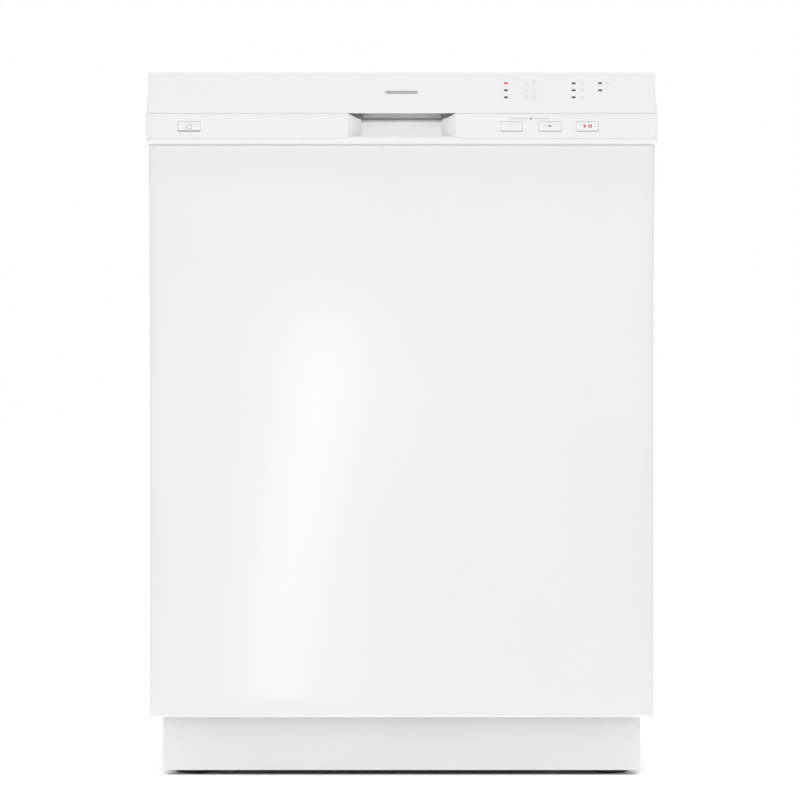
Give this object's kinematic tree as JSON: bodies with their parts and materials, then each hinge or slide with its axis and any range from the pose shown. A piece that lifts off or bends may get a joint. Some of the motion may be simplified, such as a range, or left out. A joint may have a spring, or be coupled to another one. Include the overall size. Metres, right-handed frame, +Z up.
{
  "type": "built-under dishwasher",
  "caption": "Built-under dishwasher with a drop-down door, console with recessed grip and push buttons, sliding wire racks, spray arms, tub, plinth and levelling feet.",
  "frame": {"origin": "centre of the footprint on the floor, at the bottom of the feet", "axes": "+Z up, -Y out of the front of the door, +X to the right seen from the front"},
  "size_m": [0.598, 0.57, 0.83],
  "materials": {
    "stainless": "brushed stainless sheet",
    "steel_mesh": "perforated stainless",
    "galvanised": "zinc coated steel",
    "spring_steel": "oiled spring wire",
    "white_enamel": "smooth white powder coat",
    "white_plinth": "smooth white powder coat",
    "white_console": "white satin plastic",
    "white_keys": "white plastic",
    "window_dark": "smoked lens",
    "window_red": "lit red lens",
    "gasket_rubber": "grey rubber",
    "bitumen": "black bitumen felt",
    "base_plastic": "dark grey plastic",
    "foot_plastic": "black plastic",
    "grey_plastic": "light grey polypropylene",
    "natural_plastic": "natural polypropylene",
    "dispenser_plastic": "grey plastic",
    "latch_plastic": "dark plastic",
    "service_plastic": "dark plastic",
    "motor_body": "moulded motor housings",
    "circuit_board": "green laminate",
    "coated_wire": "grey nylon coated wire"
  },
  "bodies": {
    "cabinet": {"tub_wrap": "stainless", "tub_floor": "stainless", "door_gasket": "gasket_rubber", "left_side_panel": "galvanised", "right_side_panel": "galvanised", "base_tray": "base_plastic", "rear_cover": "galvanised", "top_insulation_mat": "bitumen", "front_crossbar": "galvanised", "door_strike": "stainless", "plinth": "white_plinth", "hinge_brackets": "galvanised", "hinge_springs": "spring_steel", "sump": "natural_plastic", "fine_filter": "steel_mesh", "wash_and_drain_pumps": "motor_body", "water_softener": "natural_plastic", "spray_feed": "grey_plastic", "inlet_valve": "service_plastic", "drain_outlet": "service_plastic", "mains_inlet": "service_plastic", "air_break_chamber": "natural_plastic", "upper_rail_guides": "grey_plastic"},
    "door": {"outer_door_panel": "white_enamel", "inner_door_liner": "stainless", "door_insulation": "bitumen", "upper_fascia": "white_console", "lower_console": "white_console", "handle_pocket": "white_console", "latch_housing": "latch_plastic", "control_board": "circuit_board", "detergent_dispenser": "dispenser_plastic", "indicator_windows": "window_dark", "lit_indicator": "window_red", "hinge_arms": "galvanised"},
    "lower_rack": {"lower_rack": "coated_wire", "lower_rack_tines": "coated_wire", "lower_rack_fittings": "grey_plastic", "cutlery_basket": "grey_plastic"},
    "upper_rack": {"upper_rack": "coated_wire", "upper_rails": "grey_plastic", "upper_arm_feed": "grey_plastic"},
    "front_wheels": {"lower_wheels_front": "grey_plastic"},
    "rear_wheels": {"lower_wheels_rear": "grey_plastic"},
    "lower_arm": {"lower_spray_arm": "grey_plastic"},
    "upper_arm": {"upper_spray_arm": "grey_plastic"},
    "filter": {"filter_cylinder": "grey_plastic"},
    "salt_cap": {"salt_cap": "natural_plastic"},
    "float": {"float_dome": "natural_plastic"},
    "detergent_lid": {"detergent_lid": "dispenser_plastic"},
    "latch_lever": {"latch_lever": "white_console"},
    "cup_shelf": {"cup_shelf": "coated_wire"},
    "foot_left_front": {"foot_left_front": "foot_plastic"},
    "foot_left_rear": {"foot_left_rear": "foot_plastic"},
    "foot_right_front": {"foot_right_front": "foot_plastic"},
    "foot_right_rear": {"foot_right_rear": "foot_plastic"},
    "button_power": {"button_power": "white_keys"},
    "button_program": {"button_program": "white_keys"},
    "button_option": {"button_option": "white_keys"},
    "button_start": {"button_start": "white_keys"}
  },
  "joints": [
    {"name": "door_hinge", "type": "hinge", "parent": "cabinet", "child": "door", "pos_m": [0, -0.25, 0.11], "axis": [1, 0, 0], "range_deg": [0, 90], "stiffness_Nm_per_rad": 12, "deforming": ["hinge_springs"]},
    {"name": "lower_rack_slide", "type": "slide", "parent": "cabinet", "child": "lower_rack", "axis": [0, -1, 0], "range_m": [0, 0.1493]},
    {"name": "upper_rack_slide", "type": "slide", "parent": "cabinet", "child": "upper_rack", "axis": [0, -1, 0], "range_m": [0, 0.4245]},
    {"name": "front_wheels_roll", "type": "hinge", "parent": "lower_rack", "child": "front_wheels", "pos_m": [0, -0.118, 0.1683], "axis": [1, 0, 0], "continuous": true},
    {"name": "rear_wheels_roll", "type": "hinge", "parent": "lower_rack", "child": "rear_wheels", "pos_m": [0, 0.17, 0.1683], "axis": [1, 0, 0], "continuous": true},
    {"name": "lower_arm_spin", "type": "hinge", "parent": "cabinet", "child": "lower_arm", "pos_m": [0, 0.028, 0.17], "axis": [0, 0, 1], "continuous": true},
    {"name": "upper_arm_spin", "type": "hinge", "parent": "upper_rack", "child": "upper_arm", "pos_m": [0, 0.028, 0.476], "axis": [0, 0, 1], "continuous": true},
    {"name": "filter_turn", "type": "hinge", "parent": "cabinet", "child": "filter", "pos_m": [0, -0.07, 0.15], "axis": [0, 0, 1], "range_deg": [0, 90]},
    {"name": "salt_cap_turn", "type": "hinge", "parent": "cabinet", "child": "salt_cap", "pos_m": [-0.212, -0.14, 0.165], "axis": [0, 0, 1], "range_deg": [0, 90]},
    {"name": "float_lift", "type": "slide", "parent": "cabinet", "child": "float", "axis": [0, 0, 1], "range_m": [0, 0.012]},
    {"name": "detergent_lid_slide", "type": "slide", "parent": "door", "child": "detergent_lid", "axis": [1, 0, 0], "range_m": [0, 0.066]},
    {"name": "latch_lever_pull", "type": "hinge", "parent": "door", "child": "latch_lever", "pos_m": [0, -0.2561, 0.797], "axis": [1, 0, 0], "range_deg": [-8, 0], "stiffness_Nm_per_rad": 0.3},
    {"name": "cup_shelf_fold", "type": "hinge", "parent": "upper_rack", "child": "cup_shelf", "pos_m": [-0.245, 0.02, 0.596], "axis": [0, -1, 0], "range_deg": [0, 90]},
    {"name": "foot_left_front_height", "type": "slide", "parent": "cabinet", "child": "foot_left_front", "axis": [0, 0, -1], "range_m": [-0.01, 0.04]},
    {"name": "foot_left_rear_height", "type": "slide", "parent": "cabinet", "child": "foot_left_rear", "axis": [0, 0, -1], "range_m": [-0.01, 0.04]},
    {"name": "foot_right_front_height", "type": "slide", "parent": "cabinet", "child": "foot_right_front", "axis": [0, 0, -1], "range_m": [-0.01, 0.04]},
    {"name": "foot_right_rear_height", "type": "slide", "parent": "cabinet", "child": "foot_right_rear", "axis": [0, 0, -1], "range_m": [-0.01, 0.04]},
    {"name": "button_power_press", "type": "slide", "parent": "door", "child": "button_power", "axis": [0, 1, 0], "range_m": [0, 0.0015], "stiffness_N_per_m": 400},
    {"name": "button_program_press", "type": "slide", "parent": "door", "child": "button_program", "axis": [0, 1, 0], "range_m": [0, 0.0015], "stiffness_N_per_m": 400},
    {"name": "button_option_press", "type": "slide", "parent": "door", "child": "button_option", "axis": [0, 1, 0], "range_m": [0, 0.0015], "stiffness_N_per_m": 400},
    {"name": "button_start_press", "type": "slide", "parent": "door", "child": "button_start", "axis": [0, 1, 0], "range_m": [0, 0.0015], "stiffness_N_per_m": 400}
  ],
  "couplings": [
    {"joint": "lower_rack_slide", "follows": "door_hinge", "m_per_rad": 0.095},
    {"joint": "upper_rack_slide", "follows": "door_hinge", "m_per_rad": 0.27},
    {"joint": "front_wheels_roll", "follows": "door_hinge", "ratio": 5.2778},
    {"joint": "rear_wheels_roll", "follows": "door_hinge", "ratio": 5.2778}
  ]
}
